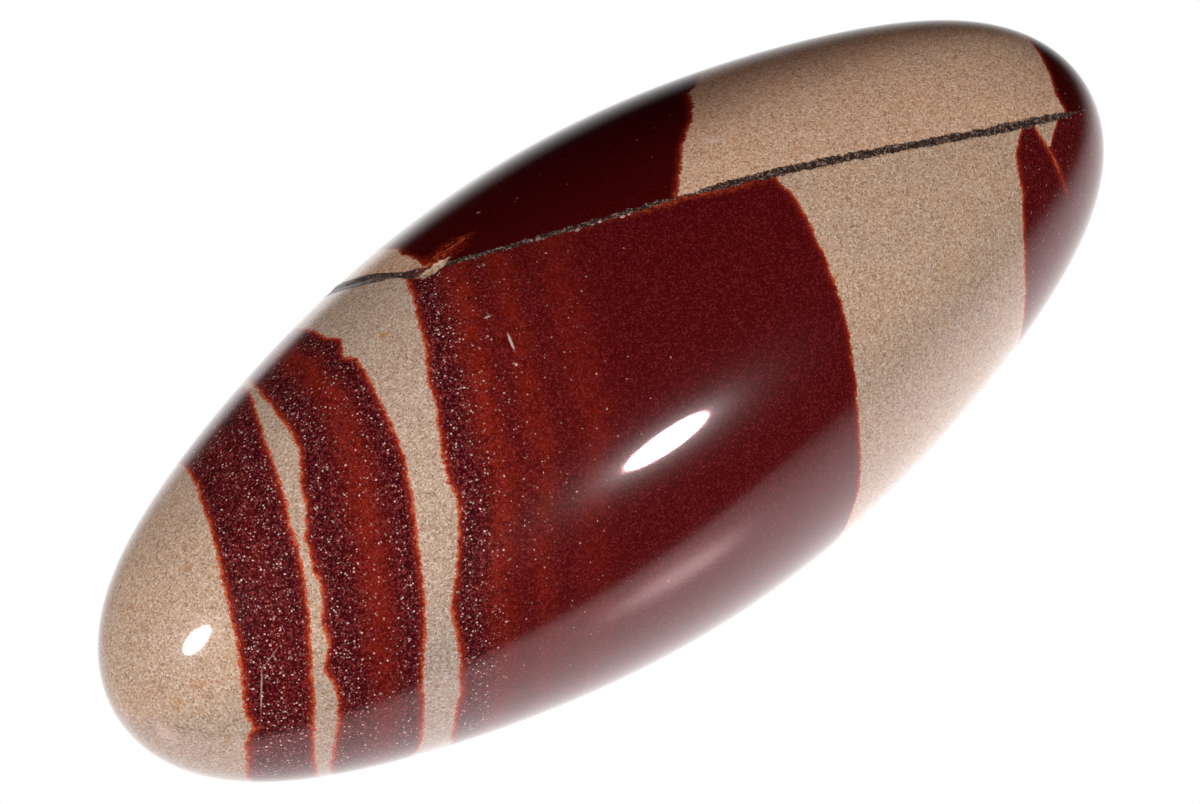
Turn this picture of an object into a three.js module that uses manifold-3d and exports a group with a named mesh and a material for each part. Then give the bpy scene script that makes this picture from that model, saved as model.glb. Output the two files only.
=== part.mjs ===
// A tumbled river pebble: one solid stone, worn to a long ellipsoid with slim shoulders and blunt tips.
// Millimetres. +X runs along the stone, +Z is up, and the origin is the middle of the flat it rests on.
import * as THREE from "three";
import { mergeVertices } from "three/addons/utils/BufferGeometryUtils.js";
import Module from "manifold-3d";

// Driving dimensions
const LENGTH = 75;
const WIDTH = 30.8;
const HEIGHT = 29.6;
const REST_FLAT_DEPTH = 0.2; // worn off the round underside, which leaves the small flat it rests on

// How the girth leaves a plain ellipsoid's along the length, as shares of the girth squared
const SHOULDER_SLIMNESS = 0.4;
const TIP_BLUNTNESS = 0.5;

// Facets, and the distance at which two vertices are one
const FACETS_AROUND = 80;
const FACETS_ALONG = 40;
const WELD = 1e-3;

const STONE_COLOUR = 0x5c1a16;
const STONE_ROUGHNESS = 0.15;

// Worked out from the driving dimensions
const HALF_LENGTH = LENGTH / 2;
const HALF_WIDTH = WIDTH / 2;
const HALF_HEIGHT = (HEIGHT + REST_FLAT_DEPTH) / 2;
const CENTRE_HEIGHT = HEIGHT - HALF_HEIGHT;

const wasm = await Module();
wasm.setup();

// Half the stone's girth over an ellipsoid's, at a share of the half length from the middle to a tip.
function swell(along) {
  return Math.sqrt(1 - SHOULDER_SLIMNESS * along ** 2 + TIP_BLUNTNESS * along ** 4);
}

// A unit sphere with its poles at the tips, stretched to the stone's three sizes and slimmed by swell.
function unwornStone() {
  const geometry = new THREE.SphereGeometry(1, FACETS_AROUND, FACETS_ALONG);
  geometry.rotateZ(-Math.PI / 2);
  const position = geometry.getAttribute("position");
  const point = new THREE.Vector3();
  for (let i = 0; i < position.count; i += 1) {
    point.fromBufferAttribute(position, i);
    const girth = swell(point.x);
    position.setXYZ(
      i,
      HALF_LENGTH * point.x,
      HALF_WIDTH * girth * point.y,
      HALF_HEIGHT * girth * point.z + CENTRE_HEIGHT,
    );
  }
  return geometry;
}

// Everything below the surface that the stone rests on, with room to spare on all sides.
function groundBlock() {
  const block = new THREE.BoxGeometry(LENGTH * 2, WIDTH * 2, HEIGHT);
  block.translate(0, 0, -HEIGHT / 2);
  return block;
}

function solidOf(geometry) {
  geometry.deleteAttribute("normal");
  geometry.deleteAttribute("uv");
  const welded = mergeVertices(geometry, WELD);
  return new wasm.Manifold(
    new wasm.Mesh({
      numProp: 3,
      vertProperties: new Float32Array(welded.getAttribute("position").array),
      triVerts: new Uint32Array(welded.index.array),
    }),
  );
}

function geometryOf(solid) {
  const { vertProperties, triVerts } = solid.getMesh();
  const geometry = new THREE.BufferGeometry();
  geometry.setAttribute("position", new THREE.BufferAttribute(vertProperties, 3));
  geometry.setIndex(new THREE.BufferAttribute(triVerts, 1));
  geometry.computeVertexNormals();
  return geometry;
}

const pebble = new THREE.Mesh(
  geometryOf(solidOf(unwornStone()).subtract(solidOf(groundBlock()))),
  new THREE.MeshStandardMaterial({ color: STONE_COLOUR, roughness: STONE_ROUGHNESS, metalness: 0 }),
);
pebble.name = "pebble";

const riverPebble = new THREE.Group();
riverPebble.name = "river_pebble";
riverPebble.add(pebble);

export default riverPebble;
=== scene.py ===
"""River pebble: one polished, banded stone on a bright sheet. An add-on's layout, run as a script."""

import math
from typing import NamedTuple

import bpy
import numpy as np
from bpy.props import FloatProperty, FloatVectorProperty, IntProperty, PointerProperty
from mathutils import Matrix, Vector


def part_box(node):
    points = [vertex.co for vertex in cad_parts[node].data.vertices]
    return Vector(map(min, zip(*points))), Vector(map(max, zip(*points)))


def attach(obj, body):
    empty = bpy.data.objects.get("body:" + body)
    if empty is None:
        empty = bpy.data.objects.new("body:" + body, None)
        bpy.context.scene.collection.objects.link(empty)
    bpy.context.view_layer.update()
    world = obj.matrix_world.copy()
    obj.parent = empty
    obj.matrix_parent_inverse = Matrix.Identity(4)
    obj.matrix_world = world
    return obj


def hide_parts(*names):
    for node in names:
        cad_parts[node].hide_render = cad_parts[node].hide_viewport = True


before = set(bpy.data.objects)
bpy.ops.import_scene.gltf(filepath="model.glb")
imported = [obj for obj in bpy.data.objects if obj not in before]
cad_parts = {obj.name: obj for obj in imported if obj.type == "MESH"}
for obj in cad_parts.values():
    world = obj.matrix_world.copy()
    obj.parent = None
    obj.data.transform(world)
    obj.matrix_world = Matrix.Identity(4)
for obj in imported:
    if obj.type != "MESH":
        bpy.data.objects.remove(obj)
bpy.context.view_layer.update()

bl_info = {
    "name": "River Pebble",
    "version": (1, 0, 0),
    "blender": (4, 5, 0),
    "location": "3D View > Sidebar > River Pebble",
    "description": "Makes a polished, banded river pebble and the bright sheet that it lies on",
    "category": "Add Mesh",
}

NODE = "pebble"
BODY = "root"

MM = 0.001
STONE_LOW, STONE_HIGH = (np.array(corner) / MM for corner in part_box(NODE))

# The stone's half sizes in millimetres. Its underside is worn to a small flat at height 0.
REST_FLAT_DEPTH = 0.2
HALF_LENGTH, HALF_WIDTH = (STONE_HIGH - STONE_LOW)[:2] / 2
HALF_HEIGHT = (STONE_HIGH[2] + REST_FLAT_DEPTH) / 2
CENTRE_HEIGHT = STONE_HIGH[2] - HALF_HEIGHT


class BandEdge(NamedTuple):
    """One edge of a red band: a tilted plane's cut through the stone.

    It sways once along X in a full turn. A turn is an angle around the stone in degrees: 0 on top,
    90 at the front (-Y) and -90 at the back.
    """

    middle: float  # mean place along X, mm
    sway: float  # greatest distance from that place, mm
    lean: float  # the turn at which the edge is farthest towards +X, degrees
    nudges: tuple  # (turn, mm) pairs where the real edge leaves the plane


# Edges in front of the vein, from the near tip on: tan, then red and tan by turns, ending in red.
FRONT_EDGES = (
    BandEdge(
        -29.7,
        4.3,
        -95,
        ((-44, 0.2), (10, -0.2), (40, 0.1), (66, 0.2), (71, 0.6), (77, 0.2), (116, -0.3)),
    ),
    BandEdge(
        -24.9,
        5.4,
        -92,
        ((-44, 0.3), (-20, -0.2), (3, -0.1), (10, -0.2), (18, 0.1), (26, 0), (31, 0.1), (40, 0))
        + ((48, -0.1), (64, -0.05), (104, -0.3)),
    ),
    BandEdge(
        -24.05,
        5.6,
        -92,
        ((-34, -0.3), (-16, 0.3), (-8, 0.6), (4, 0), (9, 0.1), (16, -0.4), (24, -0.2), (28, -0.1))
        + ((33, 0.1), (40, -0.1), (50, 0.2), (56, -0.3), (64, 0.3), (68, 0.4), (80, 0.3), (106, -0.3)),
    ),
    BandEdge(
        -20.0,
        4.9,
        -68,
        ((-44, -0.4), (-31, -0.3), (-26, 0.3), (-20, -0.3), (-16, 0.3), (4, 0.3), (16, 0.4), (36, -0.1))
        + ((76, -0.3), (92, 0.1), (108, 0.5)),
    ),
    BandEdge(
        -14.6,
        8.1,
        -88,
        ((-18, -0.1), (-12, -0.2), (-4, -0.1), (4, -0.5), (8, -0.1), (16, -0.3), (26, -0.1), (34, 0.5))
        + ((44, 0.2), (56, -0.3), (72, 0.2), (84, 0.3), (108, -0.3)),
    ),
    BandEdge(8.3, 3.8, -49, ((12, -0.3), (16, 0.1), (40, 0.2), (48, 0.2), (70, -0.2), (88, 0.2))),
    BandEdge(29.95, 8.0, -83, ((33, 1.2), (36, 0.5), (40, -0.1), (52, 0.2), (56, -0.1), (72, -0.1))),
)
# Edges behind the vein: tan, red, tan, red.
BACK_EDGES = (
    BandEdge(-9.15, 1.5, -125, ((-40, 0.2), (-36, -0.1))),
    BandEdge(-0.55, 17.5, -73, ((-32, 0.2), (-28, -0.4), (-24, 0.1), (-16, 0.3), (-10, -0.1), (0, 0.1))),
    BandEdge(32.0, 3.4, -60, ((-8, 0), (14, 0.1), (30, -0.2), (38, 0.1))),
)

# The dark vein: a crack through the whole stone along one plane, with a slow bend, and a step at its
# near end.
VEIN_NORMAL = np.array((0.303, 0.739, 0.602))
VEIN_OFFSET = 18.32
VEIN_BEND = 0.22
VEIN_BEND_LENGTH = 36
VEIN_STEP = 0.45
VEIN_STEP_PLACE = -10.9
VEIN_STEP_LENGTH = 0.4
# Half the vein's thickness along X, as (x, mm) pairs: widest near the chip, almost closed at the rust,
# and closed near the far tip.
VEIN_THICKNESS = (
    (-13.5, 0.4),
    (-11.6, 0.72),
    (-10.7, 0.58),
    (-9.8, 0.3),
    (-9, 0.2),
    (3, 0.14),
    (3.8, 0.04),
    (4.8, 0.04),
    (5.6, 0.2),
    (9, 0.29),
    (31, 0.27),
    (32.6, 0),
)
# Where rust has seeped out of the vein's front side, along X.
RUST_PLACE = 4.5
RUST_SPREAD = 4.5

# In the far cap, in front of the vein: a tan wedge that narrows to a rusty crack. Its place is along X,
# and its mouth and tip are turns in degrees. It goes on widening a little above its mouth.
CAP_CRACK_PLACE = 28.5
CAP_WEDGE_WIDTH = 1.75
CAP_WEDGE_MOUTH = 40
CAP_WEDGE_TIP = 46
CAP_WEDGE_MOST = 1.2
# How far the red closes over the crack, as (turn, mm) pairs.
CAP_CRACK_CLOSING = ((CAP_WEDGE_MOUTH, -0.05), (CAP_WEDGE_TIP, 0.06), (64, 0.13), (90, 2))

# Painted shade, darker towards the back behind the vein, as (turn, share) pairs.
BACK_PAINTED_SHADE = ((-25, 0.7), (-15, 0.42), (-8, 0.1), (-2, 0))
# Where along X that painted shade sets in.
BACK_PAINTED_SHADE_START = -8
BACK_PAINTED_SHADE_FULL = 8

# How the rusty stripes and the scattered specks weaken towards the underside, as (degrees from the top,
# share) pairs.
UPPER_SHARE = ((50, 1.0), (78, 0.35))

# Painted shade: the tan turns greyer and darker towards the underside, toning down the warm light that
# falls there, as (degrees from the top, share) pairs.
UNDERSIDE_PAINTED_SHADE = ((46, 0), (66, 1.0))

# How much orange stain the tan has along X, as (x, share) pairs, and behind the vein.
STAIN = ((-34, 0.5), (-29, 0.45), (-26, 0.05), (-10, 0.1), (6, 0.6), (14, 0.7))
BACK_STAIN = 0.7

# How strong the orange rim is behind the vein and along the wide band's far edge.
WEAK_RIM = 0.6


class Stripe(NamedTuple):
    """A soft stripe that runs along a band."""

    middle: float  # distance from the band's edge, mm, or share of the band's width
    width: float  # distance at which it has faded, in the same measure
    strength: float  # from 0 to 1


# Rusty stripes: in the first band, in the narrow band by shares of its width, and in the wide band.
NEAR_STRIPES = (Stripe(2.2, 0.8, 0.25),)
NARROW_STRIPES = (Stripe(0.55, 0.16, 1.0),)
WIDE_STRIPES = (Stripe(2.8, 0.9, 1.0), Stripe(5.4, 0.8, 0.7), Stripe(8.6, 1.2, 0.45))

# How speckled the red is: all of the first band, the narrow band but for a gap along its middle, a dense
# border and a thin scatter in the wide band, a little in the far cap and almost nothing behind the vein.
NARROW_SPECKLE_GAP = (Stripe(0.55, 0.25, 0.6),)
WIDE_BORDER_SPECKLE = 0.85
WIDE_BORDER_WIDTH = 2.3
WIDE_SPECKLE = (Stripe(4, 5, 0.28),)
CAP_SPECKLE = 0.2
BACK_SPECKLE = 0.015


class Mark(NamedTuple):
    """A small mark in the skin: an ellipse, turned by its heading from +X towards the front."""

    x: float  # mm
    turn: float  # degrees
    heading: float  # degrees
    length: float  # mm
    width: float  # mm
    cover: float  # how far it hides the stone, from 0 to 1


# The chip beside the vein, and the rust behind it: a dim stain with bright streaks.
CHIP = Mark(-9.4, -22.1, 5, 2.2, 0.8, 1.0)
RED_STAINS = (Mark(-8.4, -24.2, 7, 5.0, 2.2, 1.0),)
RUST_STREAKS = (Mark(-8.9, -23.9, 8, 2.2, 0.8, 0.9), Mark(-7.7, -24.5, 6, 3.8, 1.0, 0.9))
# Scratches in the polish and single bright grains; the four small marks on the vein from x = -2.1 to 0.9
# are painted glints, spots of reflected light painted in a pale colour.
PALE_MARKS_AND_PAINTED_GLINTS = (
    Mark(-10.1, 8.6, 111, 1.4, 0.17, 0.85),
    Mark(-10.0, 0.0, 16, 0.5, 0.16, 0.7),
    Mark(-10.8, 13.8, 0, 0.22, 0.2, 0.9),
    Mark(-4.5, -28.8, 23, 0.3, 0.16, 0.5),
    Mark(8.9, -6.9, 28, 1.5, 0.9, 0.4),
    Mark(-0.75, -3.1, 0, 0.26, 0.2, 1.0),
    Mark(0.5, -0.9, 10, 0.4, 0.22, 0.8),
    Mark(0.9, -0.5, 0, 0.2, 0.18, 0.9),
    Mark(-2.1, -4.6, 5, 0.4, 0.25, 0.6),
    Mark(-31.1, 43.5, 155, 1.8, 0.09, 0.3),
    Mark(-32.3, 54.7, 115, 3.0, 0.1, 0.55),
)
OCHRE_SPOTS = (
    Mark(-14.7, -15.7, 54, 0.7, 0.4, 0.75),
    Mark(17.9, -0.3, 29, 0.32, 0.22, 0.9),
    Mark(-30.5, 2.4, 24, 0.7, 0.3, 0.5),
    Mark(-31.5, -7.0, 20, 0.8, 0.35, 0.5),
    Mark(-35.9, 43.0, 60, 1.0, 0.5, 0.4),
    Mark(-34.8, 39.0, 30, 1.2, 0.6, 0.35),
)


class StoneSettings(bpy.types.PropertyGroup):
    """The stone's form."""

    shoulder_slimness: FloatProperty(
        name="Shoulder slimness",
        description="Share of the girth squared that is missing between the middle and the tips",
        default=0.4,
        min=0,
        max=0.8,
    )
    tip_bluntness: FloatProperty(
        name="Tip bluntness",
        description="Share of the girth squared that is added towards the tips",
        default=0.5,
        min=0,
        max=1,
    )
    groove_depth: FloatProperty(
        name="Vein depth",
        description="How far the softer vein is worn below the polished surface",
        default=0.1 * MM,
        unit="LENGTH",
    )
    groove_width: FloatProperty(
        name="Vein groove width",
        description="Distance from the middle of the vein at which its groove has faded",
        default=0.3 * MM,
        unit="LENGTH",
    )
    chip_depth: FloatProperty(
        name="Chip depth",
        description="How deep the chip beside the vein is",
        default=0.12 * MM,
        unit="LENGTH",
    )
    rings: IntProperty(name="Rings", description="Rings of points along the stone", default=420, min=40)
    front_lines: IntProperty(
        name="Front lines", description="Lines of points in front of the vein", default=140, min=20
    )
    back_lines: IntProperty(
        name="Back lines", description="Lines of points behind the vein", default=70, min=10
    )


def colour_property(name, description, default):
    return FloatVectorProperty(
        name=name, description=description, default=default, subtype="COLOR", size=3, min=0, max=1
    )


class FinishSettings(bpy.types.PropertyGroup):
    """The stone's colours and polish."""

    tan: colour_property("Tan", "Plain sandy stone", (0.59, 0.402, 0.305))
    tan_light: colour_property("Light grain", "Palest sand grains", (0.84, 0.67, 0.52))
    tan_dark: colour_property("Dark grain", "Darkest sand grains", (0.29, 0.17, 0.105))
    tan_warm: colour_property("Warm tan", "Sandy stone with a little iron", (0.72, 0.43, 0.25))
    behind_gain: FloatVectorProperty(
        name="Tan behind the vein",
        description="How much paler the tan is behind the vein",
        default=(1.19, 1.11, 1.08),
    )
    # Painted shade: the colour that the tan is multiplied by towards the underside.
    underside_shade_colour: colour_property(
        "Flank tan", "What is left of the tan towards the underside", (0.84, 0.90, 0.98)
    )
    ochre: colour_property("Ochre", "Orange-brown stain in the tan", (0.52, 0.22, 0.075))
    maroon: colour_property("Maroon", "Deep red of the wide band", (0.094, 0.0035, 0.0045))
    shade: colour_property("Dark maroon", "Deeper red behind the vein", (0.055, 0.0015, 0.002))
    border: colour_property("Border red", "Dark purple red along the narrow bands", (0.056, 0.003, 0.006))
    brick: colour_property("Brick red", "Rusty stripes inside the bands", (0.25, 0.015, 0.005))
    bright_grain: colour_property(
        "Bright red grain", "Brightest sand grains in the red", (0.34, 0.038, 0.044)
    )
    dark_grain: colour_property("Dark red grain", "Darkest sand grains in the red", (0.028, 0.001, 0.002))
    rim: colour_property("Rim", "Thin orange line along each band", (0.64, 0.105, 0.034))
    rim_glow: colour_property("Rim glow", "Bright red beside that line", (0.32, 0.022, 0.010))
    # Also the colour of the painted glints on the vein.
    speck: colour_property("Speck", "Palest mineral specks in the red", (1.0, 0.73, 0.67))
    speck_red: colour_property("Red speck", "Reddest mineral specks in the red", (0.85, 0.22, 0.16))
    # Painted shade: the colour that the stone behind the vein darkens towards at the back shoulder.
    back_shade_colour: colour_property(
        "Back brown", "What is left of the colours at the brown back shoulder", (0.44, 0.33, 0.30)
    )
    vein: colour_property("Vein", "Dark mineral in the crack", (0.034, 0.018, 0.012))
    vein_grain: colour_property("Vein grain", "Paler grains in the crack", (0.50, 0.33, 0.28))
    rust: colour_property("Rust", "Iron stain beside the crack", (0.42, 0.046, 0.014))
    chip: colour_property("Chip", "Cream stone bared by the chip and scratches", (0.82, 0.62, 0.45))
    polish_roughness: FloatProperty(
        name="Polish roughness", description="Roughness of the polished skin", default=0.05, min=0, max=1
    )
    dull_roughness: FloatProperty(
        name="Dull roughness", description="Roughness of the vein and the chip", default=0.4, min=0, max=1
    )
    polish_ior: FloatProperty(
        name="Polish refraction",
        description="Index of refraction of the polished skin",
        default=1.55,
        min=1,
    )
    polish_tint: colour_property(
        "Polish tint", "Colour that the iron gives to reflections", (1.0, 0.5, 0.52)
    )
    haze: FloatProperty(
        name="Haze",
        description="Share of light that the polish scatters widely",
        default=0.22,
        min=0,
        max=1,
    )
    haze_roughness: FloatProperty(
        name="Haze roughness", description="How widely the polish scatters it", default=0.22, min=0, max=1
    )


class StageSettings(bpy.types.PropertyGroup):
    """The camera, lamps and sheet."""

    azimuth: FloatProperty(
        name="Azimuth",
        description="Camera's angle around the stone",
        default=math.radians(-41),
        subtype="ANGLE",
    )
    elevation: FloatProperty(
        name="Elevation",
        description="Camera's angle above the sheet",
        default=math.radians(50),
        subtype="ANGLE",
    )
    distance: FloatProperty(
        name="Distance", description="Camera to the point it looks at", default=0.36, unit="LENGTH"
    )
    aim: FloatVectorProperty(
        name="Aim",
        description="Point that the camera looks at",
        default=(-1.22 * MM, 0.26 * MM, 14.19 * MM),
        subtype="TRANSLATION",
        unit="LENGTH",
    )
    lens: FloatProperty(name="Lens", description="Focal length in millimetres", default=180.4, min=1)
    sheet_glow: FloatProperty(
        name="Sheet glow", description="Brightness of the sheet beside the stone", default=1.14, min=0
    )
    room_glow: FloatProperty(
        name="Room glow", description="Brightness of the dim room", default=0.02, min=0
    )


class RiverPebbleSettings(bpy.types.PropertyGroup):
    """All that a user would change."""

    stone: PointerProperty(type=StoneSettings)
    finish: PointerProperty(type=FinishSettings)
    stage: PointerProperty(type=StageSettings)


def girth(share, stone):
    """Half girth as a share of the widest: root of (1 - u^2)(1 - slimness u^2 + bluntness u^4)."""
    squared = share**2
    swell = 1 - stone.shoulder_slimness * squared + stone.tip_bluntness * squared**2
    return np.sqrt(np.clip((1 - squared) * swell, 0, None))


def skin_points(x, turn, stone):
    """Points on the smooth skin: an ellipse of the local girth in each ring, with turn 0 on top."""
    local = girth(x / HALF_LENGTH, stone)
    y = -HALF_WIDTH * local * np.sin(turn)
    z = CENTRE_HEIGHT + HALF_HEIGHT * local * np.cos(turn)
    return np.stack(np.broadcast_arrays(x, y, z), axis=-1)


def skin_normals(points, stone):
    """Outward unit normals: the skin's gradient, made unit length.

    The skin is where (y/b)^2 + (z/c)^2 - (1 - u^2)(1 - slimness u^2 + bluntness u^4) is zero.
    """
    slim, blunt = stone.shoulder_slimness, stone.tip_bluntness
    share = points[..., 0] / HALF_LENGTH
    slope = 2 * (slim + 1) * share - 4 * (blunt + slim) * share**3 + 6 * blunt * share**5
    gradient = np.stack(
        (
            slope / HALF_LENGTH,
            2 * points[..., 1] / HALF_WIDTH**2,
            2 * (points[..., 2] - CENTRE_HEIGHT) / HALF_HEIGHT**2,
        ),
        axis=-1,
    )
    return gradient / np.linalg.norm(gradient, axis=-1, keepdims=True)


def vein_bend(x):
    """How far the crack leaves its plane: one slow wave along X, and a smooth step near its near end."""
    wave = VEIN_BEND * np.sin(2 * np.pi * x / VEIN_BEND_LENGTH)
    step = VEIN_STEP / (1 + np.exp((x - VEIN_STEP_PLACE) / (VEIN_STEP_LENGTH / 4)))
    return wave + step


def vein_half_angle(x, stone):
    """Half the angle, seen from the axis, that the block behind the vein takes of each ring."""
    smallest = 1e-6
    local = np.maximum(girth(x / HALF_LENGTH, stone), smallest)
    reach = np.hypot(VEIN_NORMAL[2] * HALF_HEIGHT, VEIN_NORMAL[1] * HALF_WIDTH) * local
    level = VEIN_OFFSET + vein_bend(x) - VEIN_NORMAL[0] * x - VEIN_NORMAL[2] * CENTRE_HEIGHT
    return np.arccos(np.clip(level / reach, -1, 1))


def gathered(count):
    """Count steps from 0 towards 1, small at both ends: u - k sin(2 pi u) / (2 pi)."""
    gather = 0.93
    even = np.arange(count) / count
    return even - gather * np.sin(2 * np.pi * even) / (2 * np.pi)


def ring_places(stone):
    """Places of the rings along X: even polar angles, gathered where the vein crosses the rings."""
    crossing, spread, density = -11.6, 1.3, 5
    samples = 4001
    polar = np.linspace(0, np.pi, samples)
    x = -HALF_LENGTH * np.cos(polar)
    weight = 1 + density * np.exp(-(((x - crossing) / spread) ** 2))
    reached = np.concatenate(([0], np.cumsum((weight[1:] + weight[:-1]) / 2)))
    wanted = np.linspace(0, reached[-1], stone.rings + 2)[1:-1]
    return -HALF_LENGTH * np.cos(np.interp(wanted, reached, polar))


def skin_grid(stone):
    """X and turn of every grid point: lines follow the vein around the stone and gather along it.

    Near the tips, which the vein doesn't reach, the lines' angle is held between two soft limits.
    """
    narrowest, widest, sharpness = np.radians(20), np.radians(150), 8
    x = ring_places(stone)
    half = vein_half_angle(x, stone)
    half = (half**sharpness + narrowest**sharpness) ** (1 / sharpness)
    half = (half**-sharpness + widest**-sharpness) ** (-1 / sharpness)
    middle = math.atan2(-VEIN_NORMAL[1] * HALF_WIDTH, VEIN_NORMAL[2] * HALF_HEIGHT)
    back = (middle - half)[:, None] + 2 * half[:, None] * gathered(stone.back_lines)
    front = (middle + half)[:, None] + 2 * (np.pi - half)[:, None] * gathered(stone.front_lines)
    turn = np.concatenate((back, front), axis=1)
    return np.broadcast_to(x[:, None], turn.shape), turn


def wrapped_degrees(turn):
    """An angle in degrees, from -180 to 180."""
    return (np.degrees(turn) + 180) % 360 - 180


def along_pairs(value, pairs):
    """Straight lines between (value, result) pairs, level beyond them."""
    return np.interp(value, *zip(*pairs))


def edge_distance(edge, x, turn, stone):
    """Signed distance along the skin from a band edge, positive towards +X: the X gap times a cosine."""
    least_radius = 1
    around = turn - math.radians(edge.lean)
    nudge = np.interp(wrapped_degrees(turn), *zip(*edge.nudges), period=360)
    gap = x - edge.middle - edge.sway * np.cos(around) - nudge
    radius = np.maximum(HALF_WIDTH * girth(x / HALF_LENGTH, stone), least_radius)
    return gap / np.hypot(1, edge.sway * np.sin(around) / radius)


def hump(value, middle, width):
    """A smooth bump of height 1: exp(-((v - middle) / width)^2)."""
    return np.exp(-(((value - middle) / width) ** 2))


def striped(value, stripes):
    """The sum of some stripes' bumps."""
    return sum(stripe.strength * hump(value, stripe.middle, stripe.width) for stripe in stripes)


def cap_crack_distance(x, turn):
    """Distance from the tan wedge and crack in the far cap: the greater gap to the crack's two sides."""
    degrees = wrapped_degrees(turn)
    open_share = (CAP_WEDGE_TIP - degrees) / (CAP_WEDGE_TIP - CAP_WEDGE_MOUTH)
    width = CAP_WEDGE_WIDTH * np.clip(open_share, 0, CAP_WEDGE_MOST)
    closing = along_pairs(degrees, CAP_CRACK_CLOSING)
    return np.maximum(CAP_CRACK_PLACE - x, x - CAP_CRACK_PLACE - width) + closing


def skin_frame(mark, stone):
    """Centre of a mark on the skin, and its unit axes along the mark, across it and out of the skin."""
    centre = skin_points(np.array(mark.x), np.radians(mark.turn), stone)
    out = skin_normals(centre, stone)
    around = np.cross(out, (-1, 0, 0))
    around /= np.linalg.norm(around)
    ahead = np.cross(out, around)
    heading = math.radians(mark.heading)
    along = math.cos(heading) * ahead + math.sin(heading) * around
    return centre, np.stack((along, np.cross(out, along), out))


def stone_fields(x, turn, points, normals, stone):
    """What the finish needs at each point, in millimetres or as shares from 0 to 1.

    iron: distance into the nearest red band, negative in the tan.
    fault: distance along the skin from the middle of the vein, positive behind it.
    vein_half: half the vein's thickness.
    brick, speckle and rim: how rusty and speckled the red is, and how strong its rim is.
    rust and stain: how stained the stone beside the vein is, and the tan.
    brown: painted shade, how far the colours darken towards the back behind the vein.
    flank: painted shade, how far the tan turns greyer and darker towards the underside.
    """
    least_slope = 0.05
    least_width = 0.1
    out_of_plane = points @ VEIN_NORMAL - VEIN_OFFSET - vein_bend(x)
    slope = np.sqrt(np.clip(1 - (normals @ VEIN_NORMAL) ** 2, least_slope, 1))
    fault = out_of_plane / slope
    first, second, third, fourth, fifth, sixth, seventh = (
        edge_distance(edge, x, turn, stone) for edge in FRONT_EDGES
    )
    near_band = np.minimum(first, -second)
    narrow_band = np.minimum(third, -fourth)
    wide_band = np.minimum(fifth, -sixth)
    far_cap = np.minimum(seventh, cap_crack_distance(x, turn))
    front_iron = np.maximum.reduce((near_band, narrow_band, wide_band, far_cap))
    start, end, far = (edge_distance(edge, x, turn, stone) for edge in BACK_EDGES)
    back_iron = np.maximum(np.minimum(start, -end), far)
    behind = fault > 0
    narrow_share = third / np.maximum(third - fourth, least_width)
    degrees = wrapped_degrees(turn)
    upper = along_pairs(np.abs(degrees), UPPER_SHARE)
    brick = upper * (
        striped(narrow_share, NARROW_STRIPES) * (narrow_band > 0)
        + striped(first, NEAR_STRIPES) * (near_band > 0)
        + striped(fifth, WIDE_STRIPES) * (wide_band > 0)
    )
    border_speckle = WIDE_BORDER_SPECKLE * np.exp(-((np.maximum(fifth, 0) / WIDE_BORDER_WIDTH) ** 3))
    speckle = (
        1.0 * (near_band > 0)
        + (1 - striped(narrow_share, NARROW_SPECKLE_GAP)) * (narrow_band > 0)
        + (border_speckle + upper * striped(fifth, WIDE_SPECKLE)) * (wide_band > 0)
        + CAP_SPECKLE * (seventh > 0)
    )
    far_edge = (fifth > np.abs(sixth)) & (wide_band > 0)
    # Painted shade behind the vein, faded in along X and growing towards the back.
    painted_shade_share = np.interp(x, (BACK_PAINTED_SHADE_START, BACK_PAINTED_SHADE_FULL), (0, 1))
    return {
        "iron": np.where(behind, back_iron, front_iron),
        "fault": fault,
        "vein_half": along_pairs(x, VEIN_THICKNESS),
        "brick": np.where(behind, 0, brick),
        "speckle": np.where(behind, BACK_SPECKLE, speckle),
        "rim": np.where(behind | far_edge, WEAK_RIM, 1),
        "rust": np.where(behind, 0, hump(x, RUST_PLACE, RUST_SPREAD)),
        "stain": np.where(behind, BACK_STAIN, along_pairs(x, STAIN)),
        "painted_back_shade": np.where(behind, along_pairs(degrees, BACK_PAINTED_SHADE) * painted_shade_share, 0),
        "painted_underside_shade": along_pairs(np.abs(degrees), UNDERSIDE_PAINTED_SHADE),
    }


def vein_pits(x):
    """Uneven depth of the vein's groove, as a share: 0.7 + 0.3 sin(9.1 x) sin(5.3 x + 1)."""
    return 0.7 + 0.3 * np.sin(9.1 * x) * np.sin(5.3 * x + 1)


def closed_faces(rings, lines):
    """Faces of a closed skin: quads between rings that join round, and a fan at each tip."""
    index = np.arange(rings * lines).reshape(rings, lines)
    beside = np.roll(index, -1, axis=1)
    quads = np.stack((index[:-1], index[1:], beside[1:], beside[:-1]), axis=-1).reshape(-1, 4)
    near_tip = np.full(lines, rings * lines)
    far_tip = near_tip + 1
    near_fan = np.stack((near_tip, index[0], beside[0]), axis=-1)
    far_fan = np.stack((far_tip, beside[-1], index[-1]), axis=-1)
    return quads.tolist() + near_fan.tolist() + far_fan.tolist()


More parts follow.
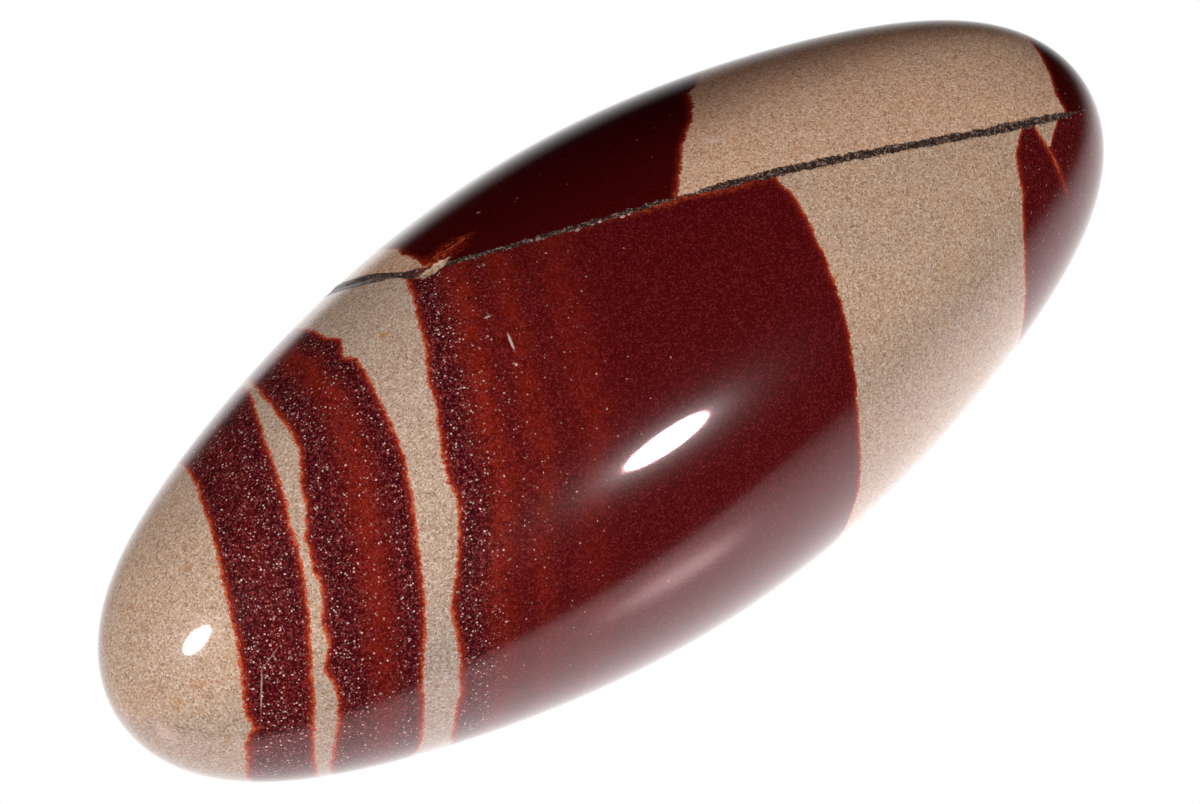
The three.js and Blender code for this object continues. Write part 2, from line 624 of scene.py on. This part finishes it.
def stone_mesh(stone):
    """The stone's skin as a closed mesh, sunk at the vein and the chip, with its fields as attributes.

    The groove is a bump across the vein. The chip is exp(-r^4), with r the distance in its ellipsoid.
    """
    x, turn = skin_grid(stone)
    rings, lines = x.shape
    tips = np.array((-HALF_LENGTH, HALF_LENGTH))
    x = np.append(x.ravel(), tips)
    turn = np.append(turn.ravel(), (0, 0))
    points = skin_points(x, turn, stone)
    normals = skin_normals(points, stone)
    fields = stone_fields(x, turn, points, normals, stone)
    openness = fields["vein_half"] / max(half for place, half in VEIN_THICKNESS)
    groove = vein_pits(x) * openness * hump(fields["fault"], 0, stone.groove_width / MM)
    centre, axes = skin_frame(CHIP, stone)
    local = (points - centre) @ axes.T / (CHIP.length / 2, CHIP.width / 2, CHIP.width / 2)
    chip = np.exp(-(np.linalg.norm(local, axis=-1) ** 4))
    depth = np.maximum(stone.groove_depth / MM * groove, stone.chip_depth / MM * chip)
    points = points - normals * depth[:, None]
    points[:, 2] = np.maximum(points[:, 2], 0)
    mesh = bpy.data.meshes.new("banded_pebble")
    mesh.from_pydata((points * MM).tolist(), [], closed_faces(rings, lines))
    mesh.polygons.foreach_set("use_smooth", np.ones(len(mesh.polygons), dtype=bool))
    for name, values in fields.items():
        attribute = mesh.attributes.new(name, "FLOAT", "POINT")
        attribute.data.foreach_set("value", values.astype(np.float32))
    mesh.update()
    return mesh


class Recipe:
    """Adds nodes to a material and joins them, so that a finish reads as one step a line."""

    def __init__(self, name):
        self.material = bpy.data.materials.new(name)
        self.material.use_nodes = True
        self.tree = self.material.node_tree
        self.tree.nodes.clear()

    def node(self, kind, inputs, **settings):
        made = self.tree.nodes.new(kind)
        for setting, value in settings.items():
            setattr(made, setting, value)
        for key, value in inputs.items():
            self.feed(made.inputs[key], value)
        return made

    def feed(self, socket, value):
        if isinstance(value, bpy.types.NodeSocket):
            self.tree.links.new(value, socket)
        elif socket.type == "RGBA" and len(value) == 3:
            socket.default_value = (*value, 1)
        else:
            socket.default_value = value

    def attribute(self, name):
        return self.node("ShaderNodeAttribute", {}, attribute_name=name).outputs["Fac"]

    def math(self, operation, first, second=0.0, clamp=False):
        inputs = {0: first, 1: second}
        return self.node("ShaderNodeMath", inputs, operation=operation, use_clamp=clamp).outputs[0]

    def times(self, first, *others):
        for other in others:
            first = self.math("MULTIPLY", first, other)
        return first

    def swing(self, share, width):
        """A share from 0 to 1 as a distance to both sides of 0, width in all."""
        return self.times(self.math("SUBTRACT", share, 0.5), width)

    def fade(self, value, low, high, start=0.0, end=1.0):
        """A smooth step of value from start at low to end at high."""
        inputs = {"Value": value, "From Min": low, "From Max": high, "To Min": start, "To Max": end}
        return self.node("ShaderNodeMapRange", inputs, interpolation_type="SMOOTHSTEP").outputs["Result"]

    def mix(self, factor, first, second, blend="MIX"):
        made = self.node("ShaderNodeMix", {}, data_type="RGBA", blend_type=blend)
        colours = [socket for socket in made.inputs if socket.type == "RGBA"]
        self.feed(made.inputs["Factor"], factor)
        self.feed(colours[0], first)
        self.feed(colours[1], second)
        return next(socket for socket in made.outputs if socket.type == "RGBA")

    def noise(self, vector, scale, detail=2.0, roughness=0.5):
        inputs = {"Vector": vector, "Scale": scale, "Detail": detail, "Roughness": roughness}
        return self.node("ShaderNodeTexNoise", inputs).outputs["Fac"]

    def jumbled(self, vector, scale, width):
        """A place moved about by noise, so that what is drawn there loses its smooth outline."""
        inputs = {"Vector": vector, "Scale": scale}
        noise = self.node("ShaderNodeTexNoise", inputs).outputs["Color"]
        offset = self.node("ShaderNodeVectorMath", {0: noise, 1: (0.5, 0.5, 0.5)}, operation="SUBTRACT")
        inputs = {0: offset.outputs["Vector"], 1: (width,) * 3, 2: vector}
        return self.node("ShaderNodeVectorMath", inputs, operation="MULTIPLY_ADD").outputs["Vector"]

    def grains(self, vector, scale):
        """Cells of one grain each: the distance from its middle, and three random numbers for it."""
        made = self.node("ShaderNodeTexVoronoi", {"Vector": vector, "Scale": scale})
        chances = self.node("ShaderNodeSeparateColor", {"Color": made.outputs["Color"]})
        return made.outputs["Distance"], chances.outputs


# Cells per millimetre: sand grains, ochre spots and mineral specks.
SAND_SCALE = 11
SPOT_SCALE = 4.5
SPECK_SCALE = 7.0


def behind_vein(recipe):
    return recipe.math("GREATER_THAN", recipe.attribute("fault"), 0.0)


def tan_colour(recipe, place, chance, finish):
    """Sandy stone: grains from dark to light, slow drifts to a warmer tone, and orange-brown spots."""
    stain = recipe.attribute("stain")
    drift = recipe.fade(recipe.noise(place, 0.3, 5, 0.6), 0.3, 0.7, 0.4, 1)
    colour = recipe.mix(recipe.times(drift, stain), finish.tan, finish.tan_warm)
    mottle = recipe.fade(recipe.noise(place, 1.8, 5, 0.75), 0.5, 0.72, 0, 0.6)
    mottle = recipe.times(mottle, recipe.fade(stain, 0, 0.6, 0.2, 1))
    colour = recipe.mix(mottle, colour, finish.tan_warm)
    colour = recipe.mix(recipe.fade(chance[0], 0.35, 0, 0, 0.8), colour, finish.tan_dark)
    colour = recipe.mix(recipe.fade(chance[0], 0.65, 1, 0, 0.95), colour, finish.tan_light)
    near, spot_chance = recipe.grains(place, SPOT_SCALE)
    rarity = recipe.math("ADD", near, recipe.times(spot_chance[0], 1.2))
    spots = recipe.times(recipe.fade(rarity, 0.25, 0.5, 1, 0), recipe.fade(stain, 0, 0.6, 0.2, 0.9))
    colour = recipe.mix(spots, colour, finish.ochre)
    # Painted shade: the tan turns greyer and darker towards the underside.
    colour = recipe.mix(recipe.attribute("painted_underside_shade"), colour, finish.underside_shade_colour, "MULTIPLY")
    return recipe.mix(behind_vein(recipe), colour, finish.behind_gain, "MULTIPLY")


def red_colour(recipe, place, chance, finish):
    """Iron-stained stone: maroon, purple-red borders, rusty stripes, sand grains, and pale specks.

    The specks are paler where they are larger, and dimmer where they are sparse.
    """
    speckle = recipe.attribute("speckle")
    drift = recipe.noise(place, 1.3, 5, 0.7)
    behind = behind_vein(recipe)
    colour = recipe.mix(behind, finish.maroon, finish.shade)
    colour = recipe.mix(recipe.fade(speckle, 0.25, 0.9), colour, finish.border)
    uneven = recipe.fade(drift, 0.3, 0.6, 0.25, 1)
    stripes = recipe.math("MULTIPLY", recipe.attribute("brick"), uneven, clamp=True)
    colour = recipe.mix(stripes, colour, finish.brick)
    sandy = recipe.times(recipe.fade(speckle, 0, 0.6, 0.33, 0.6), recipe.fade(behind, 0, 1, 1, 0.2))
    dark = recipe.times(recipe.fade(chance[0], 0.4, 0), sandy)
    bright = recipe.times(recipe.fade(chance[0], 0.6, 1), sandy)
    colour = recipe.mix(dark, colour, finish.dark_grain)
    colour = recipe.mix(bright, colour, finish.bright_grain)
    glitter = recipe.times(recipe.fade(chance[1], 0.8, 1, 0, 0.27), speckle)
    colour = recipe.mix(glitter, colour, finish.speck_red)
    near, speck_chance = recipe.grains(recipe.jumbled(place, 9, 0.12), SPECK_SCALE)
    size = recipe.fade(speck_chance[1], 0, 1, 0.1, 0.5)
    dot = recipe.fade(recipe.math("SUBTRACT", size, near), 0, 0.14)
    odds = recipe.math("LESS_THAN", speck_chance[0], recipe.times(speckle, 0.64))
    strength = recipe.math("POWER", speck_chance[2], 1.3)
    specks = recipe.times(dot, odds, strength, recipe.fade(speckle, 0.1, 0.6, 0.5, 1))
    speck_colour = recipe.mix(recipe.fade(speck_chance[1], 0.3, 1), finish.speck_red, finish.speck)
    return recipe.mix(specks, colour, speck_colour)


def vein_colour(recipe, place, chance, finish):
    """Dark mineral with paler grains in patches."""
    patches = recipe.fade(recipe.noise(place, 3.0, 5, 0.75), 0.4, 0.62, 0.12, 1)
    grainy = recipe.times(patches, recipe.fade(chance[1], 0.45, 1))
    return recipe.mix(grainy, finish.vein, finish.vein_grain)


def mark_cover(recipe, place, marks, stone, breaks=0.0):
    """How far some marks cover the skin: the greatest of their ellipses, with ragged edges and breaks."""
    skin_depth = 0.6
    cover = 0.0
    for mark in marks:
        centre, axes = skin_frame(mark, stone)
        mapped = recipe.node(
            "ShaderNodeMapping",
            {
                "Vector": place,
                "Location": centre,
                "Rotation": Matrix(axes).transposed().to_euler(),
                "Scale": (mark.length / 2, mark.width / 2, skin_depth),
            },
            vector_type="TEXTURE",
        ).outputs["Vector"]
        reach = recipe.node("ShaderNodeVectorMath", {0: mapped}, operation="LENGTH").outputs["Value"]
        streaks = recipe.noise(mapped, 2.2, 1, 0.7)
        ragged = recipe.math("ADD", reach, recipe.swing(streaks, 1.6))
        shape = recipe.fade(ragged, 0.7, 1.0, mark.cover, 0)
        shape = recipe.times(shape, recipe.fade(streaks, 0.44, 0.6, 1 - breaks, 1))
        cover = recipe.math("MAXIMUM", shape, cover)
    return cover


def stone_material(finish, stone):
    """The whole finish: tan and red parted by a ragged, rimmed edge, then the vein and marks, polished."""
    recipe = Recipe("polished_banded_stone")
    metres = recipe.node("ShaderNodeTexCoord", {}).outputs["Object"]
    place = recipe.node(
        "ShaderNodeVectorMath", {0: metres, "Scale": 1 / MM}, operation="SCALE"
    ).outputs["Vector"]
    chance = recipe.grains(recipe.jumbled(place, 8, 0.09), SAND_SCALE)[1]
    edge = recipe.math("ADD", recipe.attribute("iron"), recipe.swing(recipe.noise(place, 0.8, 2), 0.3))
    edge = recipe.math("ADD", edge, recipe.swing(recipe.noise(place, 3.0, 4, 0.7), 0.4))
    edge = recipe.math("ADD", edge, recipe.swing(chance[2], 0.1))
    red = recipe.fade(edge, -0.03, 0.03)
    red_stone = red_colour(recipe, place, chance, finish)
    rim_width = recipe.fade(recipe.noise(place, 2.5, 3), 0.3, 0.7, 0.12, 0.3)
    rim_share = recipe.times(recipe.attribute("rim"), recipe.fade(chance[1], 0, 0.5, 0.5, 1))
    glow = recipe.times(recipe.fade(edge, 0.1, 0.6, 0.8, 0), rim_share)
    red_stone = recipe.mix(glow, red_stone, finish.rim_glow)
    rim = recipe.times(recipe.fade(edge, 0.04, rim_width, 1, 0), rim_share)
    rim_colour = recipe.mix(recipe.fade(chance[0], 0.7, 1), finish.rim, finish.speck_red)
    red_stone = recipe.mix(rim, red_stone, rim_colour)
    colour = recipe.mix(red, tan_colour(recipe, place, chance, finish), red_stone)
    # Painted shade: the colours darken towards the back shoulder behind the vein.
    colour = recipe.mix(recipe.attribute("painted_back_shade"), colour, finish.back_shade_colour, "MULTIPLY")
    wander = recipe.swing(recipe.noise(place, 1.6, 4, 0.6), 0.4)
    from_vein = recipe.math("ABSOLUTE", recipe.math("ADD", recipe.attribute("fault"), wander))
    swelling = recipe.swing(recipe.noise(place, 3, 3, 0.6), 0.5)
    thickness = recipe.math("ADD", recipe.attribute("vein_half"), swelling)
    beside = recipe.math("SUBTRACT", from_vein, thickness)
    blotches = recipe.fade(recipe.noise(place, 3.5, 5, 0.8), 0.38, 0.56)
    rust = recipe.times(recipe.fade(beside, 0.05, 0.5, 1, 0), recipe.attribute("rust"), blotches)
    rust = recipe.times(rust, recipe.fade(chance[0], 0, 0.5, 0.5, 1))
    rust_colour = recipe.mix(recipe.fade(chance[1], 0.7, 1), finish.rust, finish.rim)
    colour = recipe.mix(rust, colour, rust_colour)
    vein = recipe.fade(beside, -0.05, 0.05, 1, 0)
    colour = recipe.mix(vein, colour, vein_colour(recipe, place, chance, finish))
    flecks = recipe.fade(recipe.noise(place, 5, 4, 0.8), 0.42, 0.58)
    stains = recipe.times(mark_cover(recipe, place, RED_STAINS, stone, 0.6), flecks)
    colour = recipe.mix(stains, colour, finish.rim_glow)
    streaks = recipe.times(mark_cover(recipe, place, RUST_STREAKS, stone, 1.0), flecks)
    colour = recipe.mix(streaks, colour, finish.rim)
    colour = recipe.mix(mark_cover(recipe, place, OCHRE_SPOTS, stone), colour, finish.ochre)
    # Scratches and pale grains in the speck colour, with painted glints on the vein.
    colour = recipe.mix(mark_cover(recipe, place, PALE_MARKS_AND_PAINTED_GLINTS, stone, 0.5), colour, finish.speck)
    chip = mark_cover(recipe, place, (CHIP,), stone)
    bared = recipe.fade(recipe.noise(place, 3.5, 4, 0.7), 0.4, 0.55)
    colour = recipe.mix(chip, colour, recipe.mix(bared, finish.ochre, finish.chip))
    worn = recipe.math("MAXIMUM", vein, chip)
    dull = recipe.math("MAXIMUM", worn, recipe.fade(chance[2], 0.4, 1, 0, 0.12))
    roughness = recipe.fade(dull, 0, 1, finish.polish_roughness, finish.dull_roughness)
    shader = recipe.node(
        "ShaderNodeBsdfPrincipled",
        {
            "Base Color": colour,
            "Roughness": roughness,
            "IOR": finish.polish_ior,
            "Specular Tint": finish.polish_tint,
            "Coat Weight": finish.haze,
            "Coat Roughness": finish.haze_roughness,
            "Coat IOR": finish.polish_ior,
        },
    )
    recipe.node("ShaderNodeOutputMaterial", {"Surface": shader.outputs["BSDF"]})
    return recipe.material


class PEBBLE_OT_stone(bpy.types.Operator):
    """Make the banded stone in place of its plain CAD solid"""

    bl_idname = "mesh.river_pebble_stone"
    bl_label = "Make Banded Stone"

    def execute(self, context):
        settings = context.scene.river_pebble
        mesh = stone_mesh(settings.stone)
        mesh.materials.append(stone_material(settings.finish, settings.stone))
        piece = bpy.data.objects.new("banded_pebble", mesh)
        context.scene.collection.objects.link(piece)
        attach(piece, BODY)
        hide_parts(NODE)
        return {"FINISHED"}


# Stage directions: right and away are level, as the camera sees them. Millimetres.
SHEET_CORNERS = ((-160, -62), (200, -62), (200, 140), (-160, 140))
SHEET_DROP = 0.1
SHEET_ROUGHNESS = 0.21
# The sheet's glow: its soft front edge, where it starts to fade behind the stone and how fast, its fade
# to the left, and its two fades to the right, one straight and one slanting away. Pairs are (place,
# share).
SHEET_FRONT = ((-59, 0.0), (-43, 1.0))
SHEET_BACK_START = 42
SHEET_BACK_LENGTH = 26
SHEET_LEFT = ((-62, 0.15), (-30, 1.0))
SHEET_RIGHT = ((25, 1.0), (150, 0.05))
SHEET_SLANT = ((55, 1.0), (115, 0.06))
# A brighter pool of light in front of the stone: its middle, its spread and how much it adds.
SHEET_POOL = (25, -10)
SHEET_POOL_SPREAD = 40
SHEET_POOL_GAIN = 0.35
BACKDROP_RADIUS = 2.0


class Lamp(NamedTuple):
    """A soft lamp that faces the stone."""

    name: str
    azimuth: float  # degrees from straight away from the camera, positive to its right
    elevation: float  # degrees
    width: float  # degrees, as the stone sees it
    height: float  # degrees
    power: float  # watts


LAMP_DISTANCE = 0.6
LAMPS = (
    Lamp("right_lamp", 122.3, 29.2, 11, 9, 1.85),
    Lamp("left_lamp", -130.3, 37, 12.5, 16, 2.65),
)


def stage_axes(stage):
    """Level unit vectors to the camera's right and straight away from it."""
    right = Vector((math.cos(stage.azimuth), math.sin(stage.azimuth), 0))
    away = Vector((-math.sin(stage.azimuth), math.cos(stage.azimuth), 0))
    return right, away


def facing(direction):
    """Rotation of a camera or lamp that looks along a direction, with up kept up."""
    return direction.to_track_quat("-Z", "Y").to_euler()


def add_camera(context, stage):
    away = stage_axes(stage)[1]
    back = Vector((0, 0, math.sin(stage.elevation))) - away * math.cos(stage.elevation)
    data = bpy.data.cameras.new("photo_camera")
    data.lens = stage.lens
    data.sensor_width = 36
    data.clip_start = 0.01
    camera = bpy.data.objects.new("photo_camera", data)
    camera.location = Vector(stage.aim) + back * stage.distance
    camera.rotation_euler = facing(-back)
    context.scene.collection.objects.link(camera)
    context.scene.camera = camera


def add_lamp(context, stage, lamp):
    right, away = stage_axes(stage)
    azimuth, elevation = math.radians(lamp.azimuth), math.radians(lamp.elevation)
    level = right * math.sin(azimuth) + away * math.cos(azimuth)
    towards = level * math.cos(elevation) + Vector((0, 0, math.sin(elevation)))
    data = bpy.data.lights.new(lamp.name, "AREA")
    data.shape = "ELLIPSE"
    data.size = 2 * LAMP_DISTANCE * math.tan(math.radians(lamp.width) / 2)
    data.size_y = 2 * LAMP_DISTANCE * math.tan(math.radians(lamp.height) / 2)
    data.energy = lamp.power
    light = bpy.data.objects.new(lamp.name, data)
    light.location = towards * LAMP_DISTANCE + Vector((0, 0, CENTRE_HEIGHT * MM))
    light.rotation_euler = facing(-towards)
    context.scene.collection.objects.link(light)


def sheet_material(stage, right, away):
    """A glossy sheet: its glow dies away exponentially behind the stone, and fades sideways."""
    recipe = Recipe("bright_sheet")
    metres = recipe.node("ShaderNodeTexCoord", {}).outputs["Object"]

    def along(direction):
        inputs = {0: metres, 1: direction / MM}
        return recipe.node("ShaderNodeVectorMath", inputs, operation="DOT_PRODUCT").outputs["Value"]

    def sideways(direction, ends):
        (low, start), (high, end) = ends
        return recipe.fade(along(direction), low, high, start, end)

    def bell(direction, middle):
        offset = recipe.math("SUBTRACT", along(direction), middle)
        share = recipe.math("DIVIDE", offset, SHEET_POOL_SPREAD)
        return recipe.math("EXPONENT", recipe.times(recipe.math("POWER", share, 2), -1))

    beyond = recipe.math("MAXIMUM", recipe.math("SUBTRACT", along(away), SHEET_BACK_START), 0)
    glow = recipe.math("EXPONENT", recipe.math("DIVIDE", beyond, -SHEET_BACK_LENGTH))
    pool = recipe.times(bell(right, SHEET_POOL[0]), bell(away, SHEET_POOL[1]), SHEET_POOL_GAIN)
    strength = recipe.times(
        glow,
        recipe.math("ADD", pool, 1),
        sideways(away, SHEET_FRONT),
        sideways(right, SHEET_LEFT),
        sideways(right, SHEET_RIGHT),
        sideways((right + away).normalized(), SHEET_SLANT),
        stage.sheet_glow,
    )
    shader = recipe.node(
        "ShaderNodeBsdfPrincipled",
        {
            "Base Color": (0, 0, 0),
            "Roughness": SHEET_ROUGHNESS,
            "Emission Color": (1, 1, 1),
            "Emission Strength": strength,
        },
    )
    recipe.node("ShaderNodeOutputMaterial", {"Surface": shader.outputs["BSDF"]})
    return recipe.material


def backdrop_material():
    """Plain white glow."""
    recipe = Recipe("backdrop")
    glow = recipe.node("ShaderNodeEmission", {"Color": (1, 1, 1)})
    recipe.node("ShaderNodeOutputMaterial", {"Surface": glow.outputs["Emission"]})
    return recipe.material


def add_sheet(context, stage):
    """A bright sheet under the stone, which the polish reflects and the camera doesn't see."""
    right, away = stage_axes(stage)
    corners = [(right * across + away * along) * MM for across, along in SHEET_CORNERS]
    drop = Vector((0, 0, -SHEET_DROP * MM))
    mesh = bpy.data.meshes.new("bright_sheet")
    mesh.from_pydata([corner + drop for corner in corners], [], [range(len(corners))])
    mesh.materials.append(sheet_material(stage, right, away))
    sheet = bpy.data.objects.new("bright_sheet", mesh)
    sheet.visible_camera = False
    context.scene.collection.objects.link(sheet)


def add_backdrop(context):
    """A white sphere around everything that only the camera sees, in even angles around and up."""
    lines, rings = 48, 24
    around = np.linspace(0, 2 * np.pi, lines, endpoint=False)
    polar = np.linspace(0, np.pi, rings + 2)[1:-1, None]
    x, y = np.sin(polar) * np.cos(around), np.sin(polar) * np.sin(around)
    z = np.broadcast_to(-np.cos(polar), x.shape)
    points = np.concatenate((np.stack((x, y, z), axis=-1).reshape(-1, 3), ((0, 0, -1), (0, 0, 1))))
    mesh = bpy.data.meshes.new("backdrop")
    mesh.from_pydata((points * BACKDROP_RADIUS).tolist(), [], closed_faces(rings, lines))
    mesh.materials.append(backdrop_material())
    backdrop = bpy.data.objects.new("backdrop", mesh)
    backdrop.visible_diffuse = False
    backdrop.visible_glossy = False
    backdrop.visible_transmission = False
    backdrop.visible_shadow = False
    context.scene.collection.objects.link(backdrop)


class PEBBLE_OT_stage(bpy.types.Operator):
    """Make the bright sheet, the lamps, the dim room and the camera"""

    bl_idname = "scene.river_pebble_stage"
    bl_label = "Make Stage"

    def execute(self, context):
        stage = context.scene.river_pebble.stage
        context.scene.view_settings.view_transform = "Standard"
        world = bpy.data.worlds.new("dim_room")
        world.use_nodes = True
        background = world.node_tree.nodes["Background"]
        background.inputs["Color"].default_value = (1, 1, 1, 1)
        background.inputs["Strength"].default_value = stage.room_glow
        context.scene.world = world
        world.cycles_visibility.glossy = False
        add_camera(context, stage)
        add_sheet(context, stage)
        add_backdrop(context)
        for lamp in LAMPS:
            add_lamp(context, stage, lamp)
        return {"FINISHED"}


class PEBBLE_PT_panel(bpy.types.Panel):
    """Sidebar list of what the add-on makes"""

    bl_idname = "PEBBLE_PT_panel"
    bl_label = "River Pebble"
    bl_space_type = "VIEW_3D"
    bl_region_type = "UI"
    bl_category = "River Pebble"

    def draw(self, context):
        settings = context.scene.river_pebble
        for group in (settings.stone, settings.finish, settings.stage):
            box = self.layout.box()
            for name in group.__annotations__:
                box.prop(group, name)
        for operator in (PEBBLE_OT_stone, PEBBLE_OT_stage):
            self.layout.operator(operator.bl_idname)


CLASSES = (
    StoneSettings,
    FinishSettings,
    StageSettings,
    RiverPebbleSettings,
    PEBBLE_OT_stone,
    PEBBLE_OT_stage,
    PEBBLE_PT_panel,
)


def register():
    for cls in CLASSES:
        bpy.utils.register_class(cls)
    bpy.types.Scene.river_pebble = PointerProperty(type=RiverPebbleSettings)


def unregister():
    del bpy.types.Scene.river_pebble
    for cls in reversed(CLASSES):
        bpy.utils.unregister_class(cls)


def main():
    register()
    bpy.ops.mesh.river_pebble_stone()
    bpy.ops.scene.river_pebble_stage()


if __name__ == "__main__":
    main()
